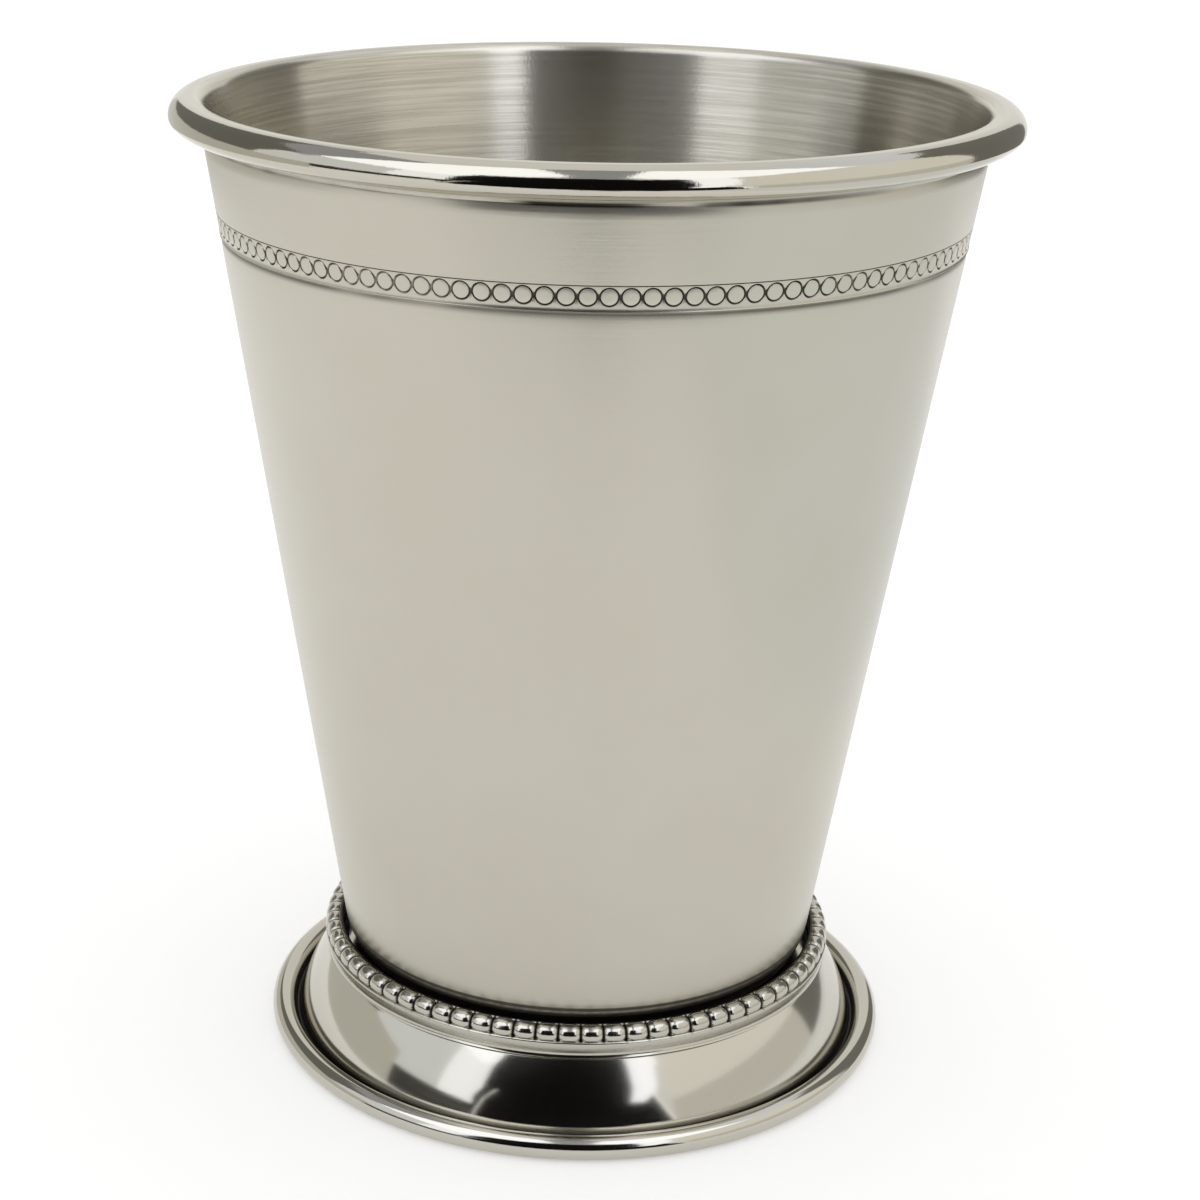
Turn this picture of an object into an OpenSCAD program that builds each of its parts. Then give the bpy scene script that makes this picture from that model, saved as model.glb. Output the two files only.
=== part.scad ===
// Julep cup: a drawn sheet cup with a wired rim and a chased band. It is brazed to a pressed
// foot with a wired edge, and a beaded border is soldered round the joint.
// Every piece is turned about +Z. The origin is the centre of the circle the foot stands on.

/* [Cup] */
// Height over everything
cup_h = 107.5; // [96:0.5:130]
// Diameter over the rolled rim
mouth_d = 89.5; // [84:0.5:98]
// Diameter of the tapered wall at the height of the floor, before the corner is rounded
wall_base_d = 52.8; // [48:0.2:54]
// Thickness of the cup's sheet
cup_sheet_t = 0.8; // [0.6:0.05:1]
// Outer radius of the corner between wall and floor
corner_r = 5; // [3.6:0.1:7]
// Diameter of the roll along the rim
rim_roll_d = 3.9; // [3.2:0.1:4.6]
// Gap between the cut edge of a roll and the sheet it comes back to
roll_gap = 0.25; // [0.15:0.05:0.35]

/* [Chased band] */
// Depth of the band's top line below the brim
band_drop = 11.65; // [8:0.05:40]
// Height of the band
band_h = 2.5; // [2.2:0.1:3.2]
// Distance from one ring to the next
ring_pitch = 2; // [1.6:0.05:2.1]
// Width of the chased lines
line_w = 0.2; // [0.12:0.02:0.3]
// Depth of the chased lines
line_depth = 0.2; // [0.1:0.02:0.3]
// Web of plain metal between a ring and what is next to it
ring_web = 0.06; // [0.04:0.01:0.12]

/* [Foot] */
// How far the skirt swells out past the border, down to where it stands upright
skirt_swell = 2.72; // [2:0.02:5]
// Width of the rounded groove between the skirt and the roll along the foot's edge
groove_w = 0.9; // [0.5:0.05:1]
// Depth of the flat that the roll stands on, taken off its round underside
stand_flat = 0.05; // [0.03:0.01:0.08]
// Height of the flat shoulder that the cup stands on
shoulder_h = 9.2; // [8.6:0.1:12]
// Height of the skirt's upright part
skirt_upright_h = 2.4; // [1.6:0.1:3.4]
// Radius of the swelling curve that the skirt follows from the shoulder to its upright part
skirt_curve_r = 23; // [12:0.5:60]
// Thickness of the foot's sheet
foot_sheet_t = 0.7; // [0.5:0.05:0.9]
// Diameter of the roll along the foot's edge
foot_roll_d = 2.7; // [2.3:0.1:3]
// Diameter of the hole in the seat under the cup's floor
seat_hole_d = 38; // [30:1:42]

/* [Beaded border] */
// Width of the border where it stands on the shoulder
border_w = 2.1; // [2.05:0.05:2.3]
// Height of the border
border_h = 3.2; // [2.8:0.1:3.6]
// Clearance between the cup's wall and the border's inner face, at the border's top
border_gap = 0.45; // [0.4:0.05:0.8]
// Height of the plain upright face under the beads
face_h = 1.85; // [1.4:0.05:2.1]
// Thickness of the upright strip behind the beads
strip_t = 0.5; // [0.4:0.05:0.7]
// Diameter of a bead
bead_d = 2.2; // [1.8:0.05:2.25]
// Distance from one bead to the next
bead_pitch = 2.4; // [2.32:0.02:2.8]
// Height of the beads' centres above the shoulder
bead_rise = 2.3; // [2.1:0.05:2.4]
// Depth of the beads' centres behind the border's outer edge
bead_inset = 1.15; // [1.1:0.01:1.2]

/* [Solder] */
// Thickness of the brazing layer between the floor and the seat
braze_t = 0.2; // [0.1:0.05:0.3]
// Width of the brazing layer, outwards from the hole in the seat
braze_w = 3; // [1:0.1:4]
// Clearance between a wire and the roll that holds it
wire_clearance = 0.02; // [0.01:0.01:0.05]
// Leg of the solder fillet inside the border
fillet_leg = 0.6; // [0.3:0.1:0.8]

/* [Hidden] */

// How far a cutting shape runs past what it cuts
overrun = 1;
$fn = 180;

// Heights and radii that the pieces share
floor_z = shoulder_h + braze_t;
rim_roll_r = rim_roll_d / 2;
rim_r = mouth_d / 2 - rim_roll_r;
rim_z = cup_h - rim_roll_r;
rim_wire_seat_r = rim_roll_r - cup_sheet_t;
foot_roll_r = foot_roll_d / 2;
foot_roll_z = foot_roll_r - stand_flat;
foot_wire_seat_r = foot_roll_r - foot_sheet_t;

// The wall's outer face runs from the floor's edge and touches the rim wire's seat
wall_base_r = wall_base_d / 2;
wall_reach = norm([rim_r - wall_base_r, rim_z - floor_z]);
wall_angle = atan2(rim_r - wall_base_r, rim_z - floor_z) - asin(rim_wire_seat_r / wall_reach);
function wall_r(z) = wall_base_r + (z - floor_z) * tan(wall_angle);

// Centre of the rounded corner, which its outer and inner faces share
corner_z = floor_z + corner_r;
corner_axis_r = wall_r(corner_z) - corner_r / cos(wall_angle);

// The band between its two lines, and the rings that hang from the upper line
band_top_z = cup_h - band_drop;
band_bottom_z = band_top_z - band_h;
ring_d = ring_pitch - ring_web;
ring_z = band_top_z - line_w / 2 - ring_web - ring_d / 2;
ring_count = round(2 * PI * wall_r(ring_z) / ring_pitch);

// The border stands on the shoulder, clear of the wall, and carries a bead at each pitch
border_top_z = shoulder_h + border_h;
border_in_r = wall_r(border_top_z) + border_gap;
border_out_r = border_in_r + border_w;
bead_axis_r = border_out_r - bead_inset;
bead_z = shoulder_h + bead_rise;
bead_count = round(2 * PI * bead_axis_r / bead_pitch);

// The skirt swells out from under the border, and the edge roll stands off it by the groove
skirt_r = border_out_r + skirt_swell;
foot_roll_axis_r = skirt_r + groove_w + foot_roll_r;

// The skirt's curve runs from the border's outer edge to the top of the upright part
curve_top = [border_out_r, shoulder_h];
curve_foot = [skirt_r, skirt_upright_h];
curve_chord = curve_foot - curve_top;
curve_depth = sqrt(skirt_curve_r ^ 2 - (curve_chord * curve_chord) / 4);
curve_centre = (curve_top + curve_foot) / 2 + curve_depth * [curve_chord.y, -curve_chord.x] / norm(curve_chord);

// A point at a distance from a centre, at an angle from the radial direction
function around(centre, distance, angle) = centre + distance * [cos(angle), sin(angle)];

// Section of the space inside the cup's outer face, drawn in by an inset
module cup_space(inset, top_z) {
    corner = [corner_axis_r, corner_z];
    radius = corner_r - inset;
    touch = around(corner, radius, -wall_angle);
    polygon([
        [0, corner_z - radius],
        [corner_axis_r, corner_z - radius],
        corner,
        touch,
        [touch.x + (top_z - touch.y) * tan(wall_angle), top_z],
        [0, top_z]
    ]);
    translate(corner) circle(r = radius);
}

// Section of a roll of sheet, open from one angle to another where its cut edge ends
module roll(roll_r, sheet_t, open_from, open_to) {
    difference() {
        circle(r = roll_r);
        circle(r = roll_r - sheet_t);
        polygon([[0, 0], for (angle = [open_from, (open_from + open_to) / 2, open_to])
            around([0, 0], 2 * roll_r, angle)]);
    }
}

// Angle that a roll leaves open between its cut edge and the sheet it comes back to
function roll_opening(roll_r, sheet_t) = acos((roll_r - sheet_t - roll_gap) / roll_r);

// Section of the drawn cup: floor, corner, wall and rolled rim
module cup_section() {
    square_on = 180 - wall_angle;
    difference() {
        cup_space(0, rim_z + rim_wire_seat_r * sin(wall_angle));
        cup_space(cup_sheet_t, cup_h + overrun);
    }
    translate([rim_r, rim_z])
        roll(rim_roll_r, cup_sheet_t, square_on + wall_angle,
            square_on + roll_opening(rim_roll_r, cup_sheet_t));
}

// Places its children on the wall's outer face at a height, facing out along the wall's normal
module on_wall(z, angle) {
    rotate([0, 0, angle]) translate([wall_r(z), 0, z]) rotate([0, 90 + wall_angle, 0]) children();
}

// Section of the two plain lines that bound the band
module band_cut_section() {
    for (z = [band_top_z, band_bottom_z])
        polygon([
            [wall_r(z) - line_depth, z - line_w / 2],
            [wall_r(z) - line_depth, z + line_w / 2],
            [wall_r(z) + overrun, z + line_w / 2],
            [wall_r(z) + overrun, z - line_w / 2]
        ]);
}

// Cutter for one chased ring
module ring_cut() {
    translate([0, 0, -line_depth]) difference() {
        cylinder(d = ring_d, h = line_depth + overrun, $fn = 24);
        translate([0, 0, -overrun])
            cylinder(d = ring_d - 2 * line_w, h = line_depth + 3 * overrun, $fn = 24);
    }
}

module cup_body() {
    color("#c4beb0") difference() {
        rotate_extrude() cup_section();
        rotate_extrude() band_cut_section();
        for (i = [0 : ring_count - 1])
            on_wall(ring_z, i * 360 / ring_count) ring_cut();
    }
}

module rim_wire() {
    color("#9c9a94") rotate_extrude() translate([rim_r, rim_z])
        circle(r = rim_wire_seat_r - wire_clearance, $fn = 48);
}

// Section of the border without its beads: a plain face, a shelf and an upright rounded strip
module border_section() {
    strip = [border_in_r + strip_t / 2, border_top_z - strip_t / 2];
    polygon([
        [border_in_r, shoulder_h],
        [border_out_r, shoulder_h],
        [border_out_r, shoulder_h + face_h],
        [border_in_r + strip_t, shoulder_h + face_h],
        [border_in_r + strip_t, strip.y],
        [border_in_r, strip.y]
    ]);
    translate(strip) circle(d = strip_t, $fn = 48);
}

// The beads stand on the shelf and are joined to the strip behind them
module beaded_border() {
    color("#c8c2b4") {
        rotate_extrude() border_section();
        difference() {
            for (i = [0 : bead_count - 1])
                rotate([0, 0, i * 360 / bead_count]) translate([bead_axis_r, 0, bead_z])
                    sphere(d = bead_d, $fn = 32);
            translate([0, 0, shoulder_h]) cylinder(r = border_in_r + strip_t / 2, h = border_h + overrun);
        }
    }
}

// Section of the space inside the foot's outer face, drawn in by an inset
module foot_space(inset) {
    intersection() {
        translate(curve_centre) circle(r = skirt_curve_r - inset);
        translate([0, -overrun]) square([skirt_r - inset, shoulder_h - inset + overrun]);
    }
}

// Section of the pressed foot: seat, swelling skirt, and an edge that turns up through a rounded
// groove and rolls outwards over the wire. The foot stands on a flat under the roll.
module foot_section() {
    groove_r = groove_w / 2;
    groove_to_wire = groove_r + foot_roll_r;
    keep_off = groove_r + foot_sheet_t + roll_gap;
    opening = acos((groove_to_wire ^ 2 + foot_roll_r ^ 2 - keep_off ^ 2) / (2 * groove_to_wire * foot_roll_r));
    difference() {
        foot_space(0);
        foot_space(foot_sheet_t);
        translate([0, -overrun]) square([seat_hole_d / 2, shoulder_h + 2 * overrun]);
        translate([0, -2 * overrun]) square([skirt_r + overrun, 2 * overrun + foot_roll_z]);
    }
    translate([skirt_r + groove_r, foot_roll_z]) roll(groove_r + foot_sheet_t, foot_sheet_t, 0, 180);
    difference() {
        translate([foot_roll_axis_r, foot_roll_z]) roll(foot_roll_r, foot_sheet_t, 180, 180 + opening);
        translate([skirt_r, -overrun]) square([groove_w + foot_roll_d + overrun, overrun]);
    }
}

module foot_skirt() {
    color("#b9b3a4") rotate_extrude() foot_section();
}

module foot_wire() {
    color("#9c9a94") rotate_extrude() translate([foot_roll_axis_r, foot_roll_z])
        circle(r = foot_wire_seat_r - wire_clearance, $fn = 48);
}

module seat_braze() {
    color("#d9cfa8") rotate_extrude() translate([seat_hole_d / 2, shoulder_h])
        square([braze_w, braze_t]);
}

module border_solder() {
    color("#d2d0c6") rotate_extrude() polygon([
        [border_in_r, shoulder_h],
        [border_in_r, shoulder_h + fillet_leg],
        [border_in_r - fillet_leg, shoulder_h]
    ]);
}

cup_body();
rim_wire();
beaded_border();
foot_skirt();
foot_wire();
seat_braze();
border_solder();
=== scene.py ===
import math

import bmesh
import bpy
from mathutils import Matrix, Vector


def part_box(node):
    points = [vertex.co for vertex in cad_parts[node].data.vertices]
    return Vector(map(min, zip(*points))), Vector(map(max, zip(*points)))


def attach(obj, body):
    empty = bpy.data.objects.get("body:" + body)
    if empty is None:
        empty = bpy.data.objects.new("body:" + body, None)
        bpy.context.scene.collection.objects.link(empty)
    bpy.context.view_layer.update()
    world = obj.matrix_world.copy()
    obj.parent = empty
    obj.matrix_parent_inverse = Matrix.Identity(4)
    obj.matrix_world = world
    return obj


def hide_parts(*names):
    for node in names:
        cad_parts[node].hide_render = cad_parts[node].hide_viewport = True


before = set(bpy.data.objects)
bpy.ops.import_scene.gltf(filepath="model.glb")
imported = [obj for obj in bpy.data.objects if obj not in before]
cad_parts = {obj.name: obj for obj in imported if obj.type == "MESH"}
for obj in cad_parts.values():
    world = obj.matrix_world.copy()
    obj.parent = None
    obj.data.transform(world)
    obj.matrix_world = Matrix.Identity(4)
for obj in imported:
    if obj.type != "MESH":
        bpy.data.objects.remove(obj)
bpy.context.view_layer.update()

# The cup itself is one sheet of nickel-plated metal, drawn and spun to a straight taper. Its
# floor turns up through a rounded corner, and its rim is rolled outwards over a wire. Sizes are
# in millimetres, and a section is a list of (radius, height) points.
MM = 0.001
cup_low, cup_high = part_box("cup_body")
brim_z = cup_high.z / MM
floor_z = cup_low.z / MM
mouth_r = cup_high.x / MM
wall_base_r = 26.4
sheet_t = 0.8
corner_r = 5.0
rim_roll_r = 1.95
rim_centre = Vector((mouth_r - rim_roll_r, brim_z - rim_roll_r))
seam_z = 103.45
wall_run = rim_centre - Vector((wall_base_r, floor_z))
wall_angle = math.atan2(wall_run.x, wall_run.y) - math.asin((rim_roll_r - sheet_t) / wall_run.length)
taper = math.tan(wall_angle)


def wall_r(z):
    """Outer radius of the tapered wall at a height."""
    return wall_base_r + (z - floor_z) * taper


def feed(tree, node, sockets):
    """Links outputs to a shader node's input sockets, or sets constants there."""
    for key, value in sockets.items():
        if isinstance(value, bpy.types.NodeSocket):
            tree.links.new(value, node.inputs[key])
        else:
            node.inputs[key].default_value = value


def add_node(tree, kind, sockets, **settings):
    """Adds a shader node with its settings and what feeds its input sockets."""
    node = tree.nodes.new(kind)
    for name, value in settings.items():
        setattr(node, name, value)
    feed(tree, node, sockets)
    return node


def maths(tree, operation, *values):
    """Output of a maths node."""
    return add_node(tree, "ShaderNodeMath", dict(enumerate(values)), operation=operation).outputs[0]


def vector_maths(tree, operation, *values):
    """Vector output of a vector maths node."""
    node = add_node(tree, "ShaderNodeVectorMath", dict(enumerate(values)), operation=operation)
    return node.outputs["Vector"]


def new_group(name, inputs, outputs):
    """Starts a shader node group with float inputs and the named outputs."""
    group = bpy.data.node_groups.new(name, "ShaderNodeTree")
    for socket, value in inputs.items():
        made = group.interface.new_socket(name=socket, in_out="INPUT", socket_type="NodeSocketFloat")
        made.default_value = value
    for socket, kind in outputs.items():
        group.interface.new_socket(name=socket, in_out="OUTPUT", socket_type=kind)
    return group, group.nodes.new("NodeGroupInput").outputs, group.nodes.new("NodeGroupOutput")


def use_group(tree, group, sockets):
    """Adds a node that runs a shader node group, and returns its outputs."""
    return add_node(tree, "ShaderNodeGroup", sockets, node_tree=group).outputs


# Where a point lies on the cup: its distance from the axis and its height, in millimetres, and
# its angle round the axis in turns.
place, _, place_out = new_group("place_on_cup", {}, {
    "Radius": "NodeSocketFloat", "Height": "NodeSocketFloat", "Turn": "NodeSocketFloat"
})
per_metre = 1 / MM
spot = add_node(place, "ShaderNodeTexCoord", {}).outputs["Object"]
spot = vector_maths(place, "MULTIPLY", spot, (per_metre, per_metre, per_metre))
flat_spot = vector_maths(place, "MULTIPLY", spot, (1, 1, 0))
axes = add_node(place, "ShaderNodeSeparateXYZ", {0: spot}).outputs
reach_out = add_node(place, "ShaderNodeVectorMath", {0: flat_spot}, operation="LENGTH").outputs["Value"]
angle_round = maths(place, "ARCTAN2", axes["Y"], axes["X"])
feed(place, place_out, {
    "Radius": reach_out, "Height": axes["Z"], "Turn": maths(place, "DIVIDE", angle_round, 2 * math.pi)
})

# Marks that the surface carries: soft clouds from polishing and handling, fine level lines from
# the lathe, and a grain too fine to see one by one.
marks, marks_in, marks_out = new_group("surface_marks", {"Line Bump": 0.0, "Grain Bump": 0.0}, {
    "Clouds": "NodeSocketFloat", "Lines": "NodeSocketFloat", "Normal": "NodeSocketVector"
})
lines_per_metre = 2600
spot = add_node(marks, "ShaderNodeTexCoord", {}).outputs["Object"]
clouds = add_node(marks, "ShaderNodeTexNoise", {
    "Vector": spot, "Scale": 45, "Detail": 3, "Roughness": 0.6
}).outputs["Fac"]
lines = add_node(marks, "ShaderNodeTexNoise", {
    "Vector": vector_maths(marks, "MULTIPLY", spot, (45, 45, lines_per_metre)),
    "Scale": 1, "Detail": 4, "Roughness": 0.65
}).outputs["Fac"]
grain = add_node(marks, "ShaderNodeTexNoise", {
    "Vector": spot, "Scale": 3200, "Detail": 1
}).outputs["Fac"]
lined_normal = add_node(marks, "ShaderNodeBump", {
    "Strength": marks_in["Line Bump"], "Distance": 0.04 * MM, "Height": lines
}).outputs["Normal"]
grained_normal = add_node(marks, "ShaderNodeBump", {
    "Strength": marks_in["Grain Bump"], "Distance": 0.03 * MM, "Height": grain, "Normal": lined_normal
}).outputs["Normal"]
feed(marks, marks_out, {"Clouds": clouds, "Lines": lines, "Normal": grained_normal})


def new_metal(name):
    """Starts a metal material, and returns it with its node tree and its surface shader."""
    material = bpy.data.materials.new(name)
    material.use_nodes = True
    shader = material.node_tree.nodes["Principled BSDF"]
    shader.inputs["Metallic"].default_value = 1
    return material, material.node_tree, shader


def ramp(tree, value, low, high, at_low=0.0, at_high=1.0):
    """Output that eases from one value to another while its input runs from low to high."""
    return add_node(tree, "ShaderNodeMapRange", {
        "Value": value, "From Min": low, "From Max": high, "To Min": at_low, "To Max": at_high
    }, interpolation_type="SMOOTHSTEP").outputs["Result"]


def away_from(tree, value, centre):
    """How far a value lies from a centre, to either side."""
    return maths(tree, "ABSOLUTE", maths(tree, "SUBTRACT", value, centre))


def all_of(tree, *masks):
    """Mask that holds where all the given masks hold: their product."""
    joined = masks[0]
    for mask in masks[1:]:
        joined = maths(tree, "MULTIPLY", joined, mask)
    return joined


def any_of(tree, *masks):
    """Mask that holds where any of the given masks holds: the strongest of them."""
    joined = masks[0]
    for mask in masks[1:]:
        joined = maths(tree, "MAXIMUM", joined, mask)
    return joined


def tint(tree, factor, first, second):
    """Colour output that goes from the first colour to the second with a factor."""
    ends = [c if isinstance(c, bpy.types.NodeSocket) else (*c, 1) for c in (first, second)]
    node = add_node(tree, "ShaderNodeMix", {"Factor": factor, 6: ends[0], 7: ends[1]}, data_type="RGBA")
    return node.outputs[2]


def blend(tree, factor, first, second):
    """Number output that goes from the first value to the second with a factor."""
    return add_node(tree, "ShaderNodeMix", {"Factor": factor, "A": first, "B": second}).outputs["Result"]


# Its metal is satin on the outside, turned with fine level lines inside and polished on the rim.
# Dark tarnish stays in the chased grooves. A painted dark reflection runs in a line on the wall
# above the border, painted shade lies down behind the border, and for part of the way round
# painted shade lies in the seam under the rim. A fade runs from its first value to its second.
shoulder_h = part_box("foot_skirt")[1].z / MM
border_h = 3.2
border_top_z = shoulder_h + border_h
lip_fade_r = (42.6, 42.0)
lip_fade_z = (104, 105)
polish_fade_z = (103.6, 104.1)
groove_fade_depth = (0.03, 0.1)
upper_wall_fade_z = (40, 90)
under_rim_fade_z = (103, 102)
wall_line_z = border_top_z + 1.35
wall_line_fade = (0.32, 0.12)
behind_border_fade_z = (border_top_z + 0.65, border_top_z + 0.35)
seam_line_z = seam_z + 0.05
seam_fade = (0.45, 0.1)
dark_seam_turn = -0.34
dark_seam_fade = (0.22, 0.13)
satin_silver = ((0.495, 0.463, 0.385), (0.558, 0.537, 0.468))
turned_silver = ((0.6, 0.575, 0.5), (0.49, 0.46, 0.385))
# Colour of the tarnish, and of the painted shade and reflection
tarnish_and_shade_colour = (0.035, 0.03, 0.024)
satin, tree, shader = new_metal("satin_nickel")
here = use_group(tree, place, {})
cover = use_group(tree, marks, {"Line Bump": 0.25, "Grain Bump": 0.12})
# How far a point lies in from the wall's outer face
face_r = maths(tree, "ADD", wall_r(0), maths(tree, "MULTIPLY", here["Height"], taper))
depth = maths(tree, "SUBTRACT", face_r, here["Radius"])
lip = all_of(tree, ramp(tree, here["Radius"], *lip_fade_r), ramp(tree, here["Height"], *lip_fade_z))
inside = any_of(tree, maths(tree, "GREATER_THAN", depth, sheet_t / 2), lip)
outside = maths(tree, "SUBTRACT", 1.0, inside)
on_rim = all_of(tree, ramp(tree, here["Height"], *polish_fade_z), outside)
in_grooves = all_of(tree, ramp(tree, depth, *groove_fade_depth), outside,
                    ramp(tree, here["Height"], *under_rim_fade_z, 0.0, 0.95),
                    ramp(tree, here["Height"], *upper_wall_fade_z),
                    ramp(tree, cover["Clouds"], 0.32, 0.52, 0.6, 1.0))
# A painted dark reflection in a line on the wall above the border, and painted shade behind it
off_line = away_from(tree, here["Height"], wall_line_z)
painted_reflection_and_shade_by_border = any_of(tree, ramp(tree, off_line, *wall_line_fade, 0.0, 0.85),
                   ramp(tree, here["Height"], *behind_border_fade_z))
# Painted shade in the seam under the rim, darkest for part of the way round
off_seam = away_from(tree, here["Height"], seam_line_z)
off_dark_side = away_from(tree, here["Turn"], dark_seam_turn)
painted_shade_in_seam = all_of(tree, ramp(tree, off_seam, *seam_fade), ramp(tree, cover["Clouds"], 0.36, 0.58),
                 ramp(tree, off_dark_side, *dark_seam_fade, 0.25, 1.0), outside)
# Tarnish in the grooves, joined with the painted reflection and painted shade
tarnish_and_painted_shade = any_of(tree, in_grooves, painted_reflection_and_shade_by_border, painted_shade_in_seam)
satin_colour = tint(tree, cover["Clouds"], *satin_silver)
turned_colour = tint(tree, ramp(tree, cover["Lines"], 0.35, 0.65), *turned_silver)
silver = tint(tree, inside, satin_colour, turned_colour)
satin_roughness = blend(tree, cover["Clouds"], 0.25, 0.33)
turned_roughness = blend(tree, cover["Lines"], 0.2, 0.3)
rim_roughness = blend(tree, cover["Clouds"], 0.05, 0.11)
roughness = blend(tree, on_rim, blend(tree, inside, satin_roughness, turned_roughness), rim_roughness)
feed(tree, shader, {
    "Base Color": tint(tree, tarnish_and_painted_shade, silver, tarnish_and_shade_colour),
    "Roughness": blend(tree, tarnish_and_painted_shade, roughness, 0.5),
    "Anisotropic": maths(tree, "MULTIPLY", inside, 0.95),
    "Anisotropic Rotation": 0.25,
    "Tangent": add_node(tree, "ShaderNodeTangent", {}, direction_type="RADIAL", axis="Z").outputs[0],
    "Normal": cover["Normal"]
})

# The chased band: a row of touching rings under a fine line, each struck as a shallow groove.
# One ring is made flat on a small tile, bent onto the wall, and repeated round the cup.
band_top_z = brim_z - 11.65
ring_pitch = 2.0
ring_z = band_top_z - 1.13
ring_count = round(2 * math.pi * wall_r(ring_z) / ring_pitch)
ring_sides = 24
tile_columns = 4
columns = ring_count * tile_columns
groove_depth = 0.13
tile_half_w = ring_pitch / 2
tile_half_h = 1.04
# Each row is a loop of the ring, from its middle out: radius, then depth below the wall
ring_rows = [(0.30, 0.0), (0.62, 0.0), (0.77, 0.02), (0.82, 0.09), (0.88, groove_depth), (0.94, 0.1),
             (0.99, 0.0), (tile_half_w, 0.0)]
# Two rings share their groove where they touch: from this radius out, and within this angle
shared_from_r = 0.95
shared_angle = 35
# The outermost loop is squared off to the tile: a third of it goes up each side, and a sixth runs
# along the top and along the bottom, which puts the first corner at this angle
tile_corner = 60


def shared_depth(radius, angle):
    """Depth of the groove that a point of the ring shares with the next ring."""
    if radius <= shared_from_r:
        return 0
    away = min(abs(math.sin(angle)) / math.sin(math.radians(shared_angle)), 1)
    return groove_depth * (1 - away * away * (3 - 2 * away))


def ring_tile(bm):
    """One ring and its square of wall, flat, with X along the band and Y up it."""
    middle_r = ring_rows[0][0]
    made = bmesh.ops.create_circle(bm, cap_ends=True, cap_tris=True, segments=ring_sides,
                                   radius=middle_r)
    loop = [v for v in made["verts"] if v.co.length > middle_r / 2]
    edges = [e for e in bm.edges if e.verts[0] in loop and e.verts[1] in loop]
    for radius, depth in ring_rows[1:]:
        made = bmesh.ops.extrude_edge_only(bm, edges=edges)["geom"]
        edges = [g for g in made if isinstance(g, bmesh.types.BMEdge)]
        for v in (g for g in made if isinstance(g, bmesh.types.BMVert)):
            angle = math.atan2(v.co.y, v.co.x)
            v.co.x, v.co.y = radius * math.cos(angle), radius * math.sin(angle)
            v.co.z = -max(depth, shared_depth(radius, angle))
    upright_share = 90 - tile_corner
    for v in {v for e in edges for v in e.verts}:
        degrees = math.degrees(math.atan2(v.co.y, v.co.x))
        if abs(abs(degrees) - 90) < upright_share + 1:
            v.co.x = (90 - abs(degrees)) / upright_share * tile_half_w
            v.co.y = math.copysign(tile_half_h, degrees)
        else:
            v.co.y = tile_half_h * math.sin(math.radians(degrees)) / math.sin(math.radians(tile_corner))
            v.co.x = math.copysign(tile_half_w, v.co.x)


def bend_onto_wall(bm):
    """Bends the flat tile round the wall, with its depth along the wall's normal."""
    for v in bm.verts:
        angle = v.co.x / ring_pitch * 2 * math.pi / ring_count
        z = ring_z + v.co.y * math.cos(wall_angle) - v.co.z * math.sin(wall_angle)
        r = wall_r(ring_z + v.co.y * math.cos(wall_angle)) + v.co.z * math.cos(wall_angle)
        v.co = (r * math.cos(angle) * MM, r * math.sin(angle) * MM, z * MM)


def repeat_round(bm, geom, count):
    """Repeats what is given at even steps round the cup's axis."""
    bmesh.ops.spin(bm, geom=geom, cent=(0, 0, 0), axis=(0, 0, 1),
                   angle=2 * math.pi * (count - 1) / count, steps=count - 1, use_duplicate=True)


bm = bmesh.new()
ring_tile(bm)
bend_onto_wall(bm)
repeat_round(bm, bm.verts[:] + bm.edges[:] + bm.faces[:], ring_count)

# Under the rings a fine ridge stands over a soft hollow. From there the wall runs straight down
# and turns in to the floor.


def arc(centre, radius, start, end, steps):
    """Points of a section along an arc, from one angle in degrees to another."""
    turn = [math.radians(start + (end - start) * i / steps) for i in range(steps + 1)]
    return [(centre[0] + radius * math.cos(a), centre[1] + radius * math.sin(a)) for a in turn]


def turn_section(bm, points, columns):
    """Turns an open section once round the cup's axis."""
    rows = len(points) - 1
    for v in bmesh.ops.create_grid(bm, x_segments=columns, y_segments=rows, size=0.5)["verts"]:
        turn = 2 * math.pi * v.co.x
        r, z = points[round((v.co.y + 0.5) * rows)]
        v.co = (r * math.cos(turn) * MM, r * math.sin(turn) * MM, z * MM)


def on_wall(up, out=0.0):
    """Point of the section beside the band: up along the wall from the rings, out from it."""
    z = ring_z + up * math.cos(wall_angle)
    return (wall_r(z) + out * math.cos(wall_angle), z - out * math.sin(wall_angle))


def finished_piece(bm, name, crease, material, node):
    """Welds the mesh, points its faces outwards and puts it in place of its CAD node."""
    bmesh.ops.remove_doubles(bm, verts=bm.verts, dist=0.001 * MM)
    bmesh.ops.recalc_face_normals(bm, faces=bm.faces)
    mesh = bpy.data.meshes.new(name)
    bm.to_mesh(mesh)
    bm.free()
    mesh.shade_smooth()
    mesh.set_sharp_from_angle(angle=math.radians(crease))
    mesh.materials.append(material)
    piece = bpy.data.objects.new(name, mesh)
    bpy.context.scene.collection.objects.link(piece)
    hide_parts(node)
    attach(piece, "root")


tilt = math.degrees(wall_angle)
corner = (wall_r(floor_z + corner_r) - corner_r / math.cos(wall_angle), floor_z + corner_r)
straight_wall = [-60, -30, -12, -3.2]
hollow = [(-2.6, -0.015), (-2.1, -0.05), (-1.75, -0.08), (-1.6, -0.07)]
ridge = [(-1.53, 0), (-1.46, 0.05), (-1.38, 0)]
section = [(0, floor_z), (corner[0] / 2, floor_z)]
section += arc(corner, corner_r, -90, -tilt, 14)
section += [on_wall(up) for up in straight_wall]
section += [on_wall(up, out) for up, out in hollow + ridge]
section += [on_wall(-tile_half_h)]
turn_section(bm, section, columns)

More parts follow.
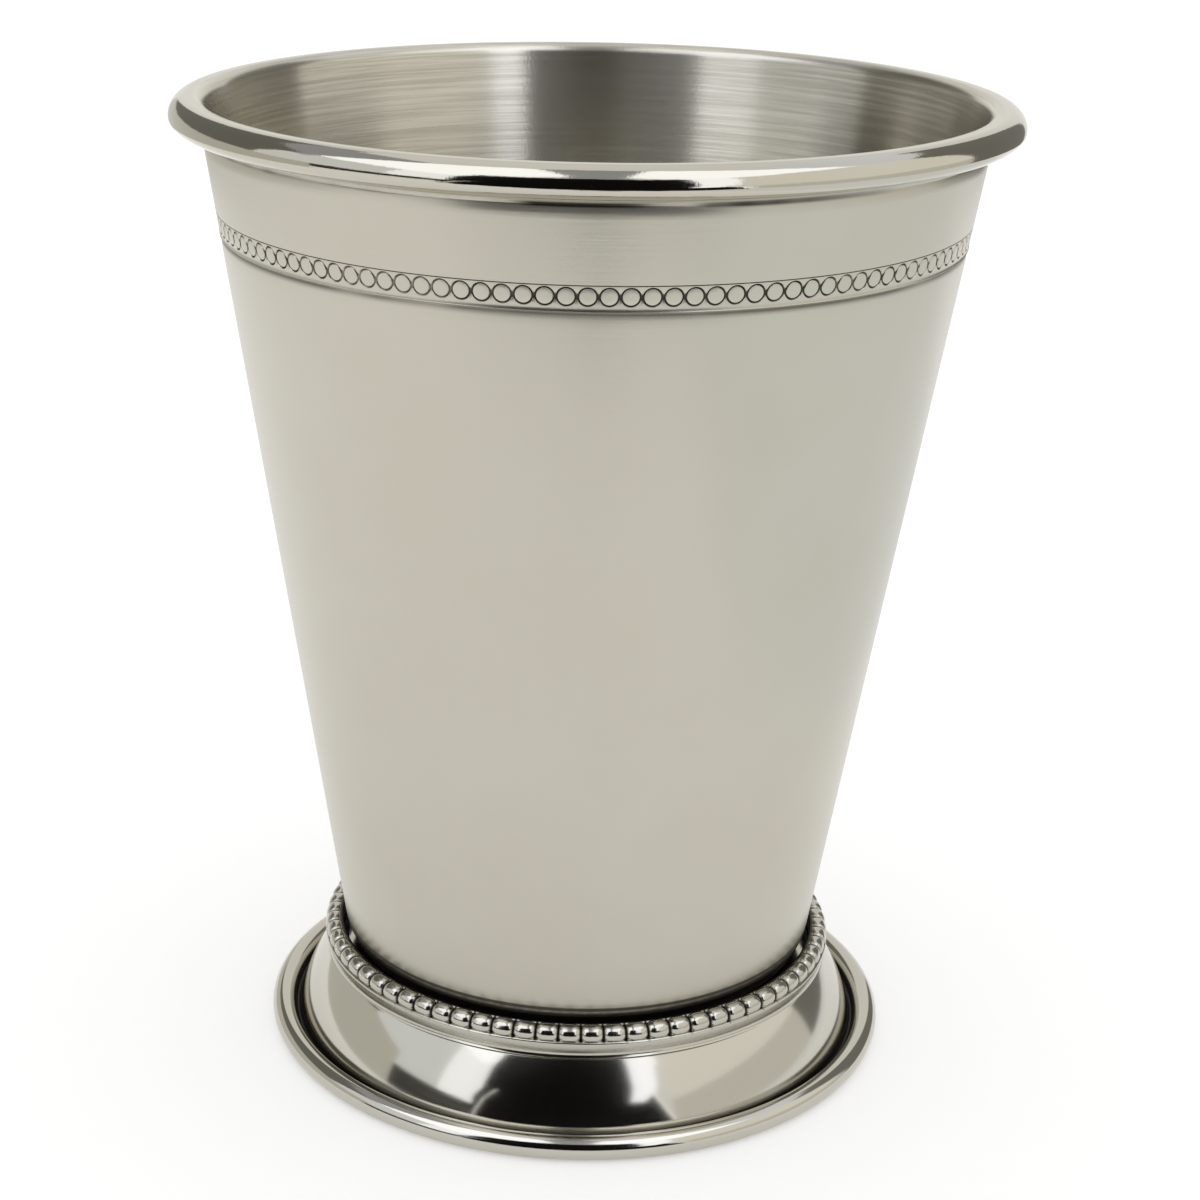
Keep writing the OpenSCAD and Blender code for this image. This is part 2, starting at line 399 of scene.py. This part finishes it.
# Over the rings runs the fine line. The rim comes out of the wall over a seam, in a short flare,
# is tucked in flat underneath and round on top, and goes over into the inner wall at a soft edge.
fine_line_up = 1.1
fine_line_depth = 0.12
flare = [(-0.05, 0), (0.04, 0.13), (0.25, 0.4), (0.65, 0.72)]
rim_under_h = 1.25
rim_under_angles = range(-100, 0, 5)
inner_edge_r = 1.2
inner_edge_z = brim_z - inner_edge_r
inner_edge = (wall_r(inner_edge_z) - (sheet_t - inner_edge_r) / math.cos(wall_angle), inner_edge_z)
inner_wall_z = 60
section = [on_wall(tile_half_h), on_wall(fine_line_up, -fine_line_depth), on_wall(fine_line_up + 0.06)]
section += [on_wall(3)]
section += [(wall_r(z), z) for z in (102, seam_z - 0.13)]
section += [(wall_r(seam_z) + out, seam_z + up) for out, up in flare]
section += [(rim_centre.x + rim_roll_r * math.cos(math.radians(a)),
             rim_centre.y + rim_under_h * math.sin(math.radians(a))) for a in rim_under_angles]
section += arc(rim_centre, rim_roll_r, 0, 90, 20)
section += arc(inner_edge, inner_edge_r, 90, 180 - tilt, 12)
section += [(wall_r(inner_wall_z) - sheet_t / math.cos(wall_angle), inner_wall_z)]
section += arc(corner, corner_r - sheet_t, -tilt, -90, 12)
section += [(corner[0] / 2, floor_z + sheet_t), (0, floor_z + sheet_t)]
turn_section(bm, section, columns)
finished_piece(bm, "cup_body_sheet", 40, satin, "cup_body")

# The foot is pressed from thinner sheet of the same plated metal. Its flat seat is brazed under
# the cup, the skirt swells out from under the border, and the edge turns up through a round
# groove and rolls out over a wire.
foot_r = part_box("foot_skirt")[1].x / MM
foot_sheet_t = 0.7
seat_hole_r = 19.0
foot_roll_r = 1.35
foot_roll_z = 1.3
foot_roll = Vector((foot_r - foot_roll_r, foot_roll_z))
groove_r = 0.28
groove = Vector((foot_roll.x - foot_roll_r - groove_r, foot_roll.y))
skirt_r = groove.x - groove_r
edge_r = 1.2
edge_turn = 16.5
skirt_top_r = 28.7
border_out_r = 29.425
strip_out_r = 27.825
shelf_z = shoulder_h + 1.85
bead_count = 74

# The foot and its border are mirror polished. Painted shade darkens the groove round the foot's
# edge, the gaps between the beads and the strip behind them, and the border is dulled a little.
groove_fade = (groove_r + 0.3, groove_r - 0.1)
groove_fade_z = (2.4, 1.5)
gap_fade = (0.12, 0.02)
gap_fade_z = (shelf_z - 0.35, shelf_z + 0.25)
strip_fade_r = (strip_out_r + 0.025, strip_out_r - 0.225)
strip_fade_z = (shoulder_h + 0.1, shoulder_h + 0.8)
border_fade_r = (border_out_r + 0.775, border_out_r + 0.375)
border_fade_z = (shoulder_h - 0.1, shoulder_h + 0.1)
mirror_silver = ((0.53, 0.505, 0.435), (0.57, 0.55, 0.49))
polished, tree, shader = new_metal("polished_nickel")
here = use_group(tree, place, {})
cover = use_group(tree, marks, {"Line Bump": 0.03, "Grain Bump": 0.02})
# Painted shade in the groove round the foot's edge
off_groove = away_from(tree, here["Radius"], groove.x)
painted_shade_in_groove = all_of(tree, ramp(tree, off_groove, *groove_fade), ramp(tree, here["Height"], *groove_fade_z))
# A share runs from the middle of one bead to the middle of the next, with the gap half way
bead_share = maths(tree, "FRACT", maths(tree, "MULTIPLY", here["Turn"], float(bead_count)))
# Painted shade in the gaps between the beads
off_gap = away_from(tree, bead_share, 0.5)
painted_shade_in_gap = all_of(tree, ramp(tree, off_gap, *gap_fade), ramp(tree, here["Height"], *gap_fade_z))
# Painted shade on the strip behind the beads
painted_shade_on_strip = all_of(tree, ramp(tree, here["Radius"], *strip_fade_r),
                  ramp(tree, here["Height"], *strip_fade_z))
on_border = all_of(tree, ramp(tree, here["Radius"], *border_fade_r, 0.0, 0.1),
                   ramp(tree, here["Height"], *border_fade_z))
# Painted shade, with the border dulled a little
tarnish_and_painted_shade = any_of(tree, painted_shade_in_groove, on_border, painted_shade_in_gap, painted_shade_on_strip)
silver = tint(tree, cover["Clouds"], *mirror_silver)
roughness = blend(tree, cover["Clouds"], 0.07, 0.15)
feed(tree, shader, {
    "Base Color": tint(tree, tarnish_and_painted_shade, silver, tarnish_and_shade_colour),
    "Roughness": blend(tree, tarnish_and_painted_shade, roughness, 0.45),
    "Normal": cover["Normal"]
})

# The skirt's swell is one arc from under the border to the turned-up edge. The foot's roll ends
# a little short of where it would run into the groove's sheet.
edge = (skirt_r - edge_r, foot_roll.y + 0.15)
skirt_foot = arc(edge, edge_r, edge_turn, edge_turn, 1)[0]
skirt_top = (skirt_top_r, shoulder_h - 0.3)
chord = Vector(skirt_foot) - Vector(skirt_top)
half_turn = math.degrees(math.atan2(chord.x, -chord.y)) - edge_turn
swell_r = chord.length / 2 / math.sin(math.radians(half_turn))
swell = (skirt_foot[0] - swell_r * math.cos(math.radians(edge_turn)),
         skirt_foot[1] - swell_r * math.sin(math.radians(edge_turn)))
top_turn = edge_turn + 2 * half_turn
roll_gap = 0.25
to_wire = groove_r + foot_roll_r
keep_off = groove_r + foot_sheet_t + roll_gap
opening = (to_wire ** 2 + foot_roll_r ** 2 - keep_off ** 2) / (2 * to_wire * foot_roll_r)
roll_end = math.degrees(math.acos(opening)) - 180
section = [(seat_hole_r, shoulder_h), (skirt_top_r - 0.5, shoulder_h)]
section += arc(swell, swell_r, top_turn, edge_turn, 24)
section += arc(edge, edge_r, edge_turn, 0, 5)[1:]
section += arc(groove, groove_r, 180, 360, 14)
section += arc(foot_roll, foot_roll_r, 180, roll_end, 48)[1:]
section += arc(foot_roll, foot_roll_r - foot_sheet_t, roll_end, 180, 20)
section += arc(groove, groove_r + foot_sheet_t, 360, 180, 14)
section += arc(swell, swell_r - foot_sheet_t, edge_turn, top_turn - 0.5, 16)
section += [(seat_hole_r, shoulder_h - foot_sheet_t), (seat_hole_r, shoulder_h)]
# The roll is flat underneath, where the cup stands on it
section = [(r, max(z, 0)) for r, z in section]
foot_columns = 320
bm = bmesh.new()
turn_section(bm, section, foot_columns)
finished_piece(bm, "foot_pressing", 30, polished, "foot_skirt")

# The border is a ring of raised beads over a plain upright face, with a rounded strip behind
# them. It is soldered on where the cup meets its foot, and stands a little clear of the wall.
strip_t = 0.5
border_in_r = strip_out_r - strip_t
strip = (border_in_r + strip_t / 2, border_top_z - strip_t / 2)
shelf_edge_r = 0.25
shelf_edge = (border_out_r - shelf_edge_r, shelf_z - shelf_edge_r)
toe_r = 0.6
toe = (border_out_r + 0.2, shoulder_h + 0.3)
section = [(border_in_r, shoulder_h)]
section += arc(strip, strip_t / 2, 180, 0, 10)
section += [(strip_out_r, shelf_z)]
section += arc(shelf_edge, shelf_edge_r, 90, -10, 6)
# The face leans in towards its foot, and meets the skirt in a small hollow toe
section += arc(toe, toe_r, 170, 225, 6)
section += [(skirt_top_r - 0.3, shoulder_h - 0.1), (border_in_r, shoulder_h)]
bm = bmesh.new()
turn_section(bm, section, 4 * bead_count)
# Each bead is drawn out along the ring, and falls away steeply to a shallow gap at either end
bead_r = 1.1
bead_centre = Vector((border_out_r - 1.15, shoulder_h + 2.3))
bead_middle_angle = 35
bead_half_wrap = 115
bead_fall = 0.38
bead_steepness = 3.5
bead = bmesh.ops.create_grid(bm, x_segments=12, y_segments=18, size=1)["verts"]
for v in bead:
    turn = v.co.x * math.pi / bead_count
    wrap = math.radians(bead_middle_angle + bead_half_wrap * v.co.y)
    size = bead_r * (1 - bead_fall * abs(v.co.x) ** bead_steepness)
    r = bead_centre.x + size * math.cos(wrap)
    z = bead_centre.y + size * math.sin(wrap)
    v.co = (r * math.cos(turn) * MM, r * math.sin(turn) * MM, z * MM)
bead_faces = list({f for v in bead for f in v.link_faces})
bead_edges = list({e for v in bead for e in v.link_edges})
repeat_round(bm, bead + bead_edges + bead_faces, bead_count)
finished_piece(bm, "beaded_border_ring", 50, polished, "beaded_border")

# The wires of the rolls, the brazing under the cup's floor and the solder inside the border are
# hidden in the finished cup. They keep their own forms, each in a plain metal of its kind.
for name, nodes, grain_bump, colours, roughness in (
        ("drawn_wire", ("rim_wire", "foot_wire"), 0.2, ((0.28, 0.27, 0.25), (0.38, 0.37, 0.34)), 0.35),
        ("brass_braze", ("seat_braze",), 0.4, ((0.57, 0.42, 0.2), (0.64, 0.52, 0.3)), 0.4),
        ("soft_solder", ("border_solder",), 0.5, ((0.42, 0.42, 0.4), (0.52, 0.52, 0.5)), 0.45)):
    metal, tree, shader = new_metal(name)
    cover = use_group(tree, marks, {"Grain Bump": grain_bump})
    feed(tree, shader, {
        "Base Color": tint(tree, cover["Clouds"], *colours), "Roughness": roughness,
        "Normal": cover["Normal"]
    })
    for node in nodes:
        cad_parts[node].data.materials.clear()
        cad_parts[node].data.materials.append(metal)

# The floor is plain white paper that keeps the cup's shadow. What the camera and the metal see
# of it is lifted to the white of the room. It and the cards are placed in metres.


def sheet(name, corners, material):
    """A flat staged sheet between corners given in metres."""
    bm = bmesh.new()
    for corner_point in corners:
        bm.verts.new(corner_point)
    bm.faces.new(bm.verts[:])
    mesh = bpy.data.meshes.new(name)
    bm.to_mesh(mesh)
    bm.free()
    mesh.materials.append(material)
    placed = bpy.data.objects.new(name, mesh)
    bpy.context.scene.collection.objects.link(placed)
    return placed


def oblong(left, right, front, back, z):
    """Corners of a level oblong."""
    return [(left, front, z), (right, front, z), (right, back, z), (left, back, z)]


paper = bpy.data.materials.new("paper")
paper.use_nodes = True
tree = paper.node_tree
rays = add_node(tree, "ShaderNodeLightPath", {}).outputs
seen = maths(tree, "ADD", rays["Is Camera Ray"], rays["Is Glossy Ray"])
seen = maths(tree, "MINIMUM", maths(tree, "ADD", seen, rays["Is Transmission Ray"]), 1.0)
feed(tree, tree.nodes["Principled BSDF"], {
    "Base Color": (0.8, 0.8, 0.8, 1), "Roughness": 1, "Specular IOR Level": 0,
    "Emission Color": (1, 1, 1, 1), "Emission Strength": maths(tree, "MULTIPLY", seen, 0.3)
})
sheet("floor", oblong(-3, 3, -3, 3, 0), paper)

# Only the metal sees the cards round the cup. In front stands a black one with bright lines at
# its edges and a bright strip on the right. A far window on the left stands over something grey,
# walls stand beside and behind, and the ceiling is broken into lighter and darker parts.


def card(name, corners, colour, strength=1.0):
    """A card that only the metal sees, with its corners given in metres."""
    glow = bpy.data.materials.new(name)
    glow.use_nodes = True
    feed(glow.node_tree, glow.node_tree.nodes["Principled BSDF"], {
        "Base Color": (0, 0, 0, 1), "Roughness": 1, "Specular IOR Level": 0,
        "Emission Color": (*colour, 1), "Emission Strength": strength
    })
    placed = sheet(name, corners, glow)
    placed.visible_camera = False
    placed.visible_diffuse = False
    placed.visible_shadow = False


def in_front(outline, distance):
    """Corners of an upright card across the front, from its (X, Z) outline."""
    return [(x, -distance, z) for x, z in outline]


def edge_line(points, width=0.008):
    """Outline of a narrow upright line of one width, from the (X, Z) points of its left side."""
    return points + [(x + width, z) for x, z in reversed(points)]


def upright(left, right, distance, low, high):
    """Corners of an upright card between two bearings, counted from straight ahead to the right."""
    bearings = [math.radians(b) for b in (left, right)]
    ends = [(distance * math.sin(b), -distance * math.cos(b)) for b in bearings]
    return [(*ends[0], low), (*ends[1], low), (*ends[1], high), (*ends[0], high)]


black_outline = [(-0.247, 0), (0.23, 0), (0.23, 0.02), (0.21, 0.06), (0.184, 0.12), (0.171, 0.17),
                 (0.17, 0.35), (-0.195, 0.35), (-0.22, 0.25), (-0.226, 0.14), (-0.247, 0.1)]
card("black_card", in_front(black_outline, 0.3), (0.006, 0.006, 0.006))
dark_floor_z = 0.0005
dark_floor_outline = [(-0.02, -0.23), (0.02, -0.23), (0.024, -0.265), (-0.024, -0.265)]
card("dark_floor", [(x, y, dark_floor_z) for x, y in dark_floor_outline], (0.03, 0.027, 0.022))
strip_outline = [(0.113, 0.1), (0.15, 0.1), (0.19, 0.15), (0.235, 0.4), (0.13, 0.4), (0.125, 0.15)]
card("bright_strip", in_front(strip_outline, 0.297), (0.95, 0.98, 1.08), 1.8)
left_edge = [(-0.238, 0), (-0.238, 0.03), (-0.216, 0.096), (-0.184, 0.136)]
card("left_edge_line", in_front(edge_line(left_edge), 0.299), (1, 1, 1), 1.3)
right_edge = [(0.222, 0), (0.222, 0.02), (0.202, 0.06), (0.177, 0.12), (0.164, 0.17)]
card("right_edge_line", in_front(edge_line(right_edge), 0.299), (1, 1, 1), 2.0)

daylight = (0.95, 0.98, 1.06)
grey = (0.06, 0.058, 0.052)
card("window_card", upright(-56, -36, 1.5, 0.26, 1.6), daylight, 1.6)
card("window_side", upright(-96, -56, 1.5, 0.24, 1.6), (0.95, 0.98, 1.02))
card("grey_card", upright(-96, -40.6, 1.49, 0, 0.13), grey)
card("grey_card_top", upright(-96, -38.4, 1.49, 0.13, 0.26), grey)

card("left_wall", upright(-160, -76, 0.5, 0, 0.16), (0.68, 0.67, 0.62))
card("left_wall_top", upright(-160, -98, 0.5, 0.16, 0.6), (0.2, 0.195, 0.18))
card("right_wall", upright(37.5, 108, 0.45, 0, 0.12), (0.79, 0.77, 0.72))
card("right_wall_top", upright(37.5, 108, 0.45, 0.12, 0.6), (1.04, 1.02, 0.96))
card("right_wall_end", upright(108, 150, 0.5, 0, 0.6), (0.22, 0.215, 0.2))
card("right_floor", oblong(0.09, 0.6, -0.6, 0.2, 0.0004), (0.96, 0.985, 0.995))
card("back_wall", upright(150, 200, 0.6, 0, 0.6), (0.9, 0.89, 0.85))

ceiling_z = 0.5
ceiling_parts = [
    (((-0.5, -0.55), (-0.3, -0.55), (-0.055, -0.33), (-0.055, 0), (-0.5, 0)), 1.9),
    (((-0.1, -0.55), (0.1, -0.55), (0.05, -0.33), (0.05, 0), (-0.055, 0), (-0.055, -0.33)), 0.45),
    (((0.05, -0.33), (0.3, -0.55), (0.4, -0.55), (0.4, 0), (0.05, 0)), 1.9),
    (((-0.6, 0), (-0.17, 0), (-0.17, 0.7), (-0.6, 0.7)), 0.45),
    (((0.14, 0), (0.6, 0), (0.6, 0.7), (0.14, 0.7)), 1.0)
]
for outline, light in ceiling_parts:
    card("ceiling", [(x, y, ceiling_z) for x, y in outline], daylight, light)

# The room is plain white, and its even light comes from all round. The cards neither light nor
# shade the paper.
world = bpy.data.worlds.new("studio")
bpy.context.scene.world = world
world.use_nodes = True
feed(world.node_tree, world.node_tree.nodes["Background"], {"Color": (1, 1, 1, 1), "Strength": 1.0})
bpy.context.scene.view_settings.view_transform = "Standard"

# The camera stands in front and a little above, as close as the photograph was taken. It looks
# down a little, and is turned a little about its own line of sight.
camera_tilt = 70.097
camera_roll = 0.8375
camera = bpy.data.objects.new("camera", bpy.data.cameras.new("camera"))
bpy.context.scene.collection.objects.link(camera)
camera.data.lens = 75.9
camera.data.sensor_width = 36
camera.data.shift_x = 0.07325
camera.data.shift_y = 0.01275
camera.data.clip_start = 0.01
camera.location = (-0.00804, -0.26881, 0.14638)
tilted = Matrix.Rotation(math.radians(camera_tilt), 3, "X")
camera.rotation_euler = (tilted @ Matrix.Rotation(math.radians(camera_roll), 3, "Z")).to_euler()
bpy.context.scene.camera = camera
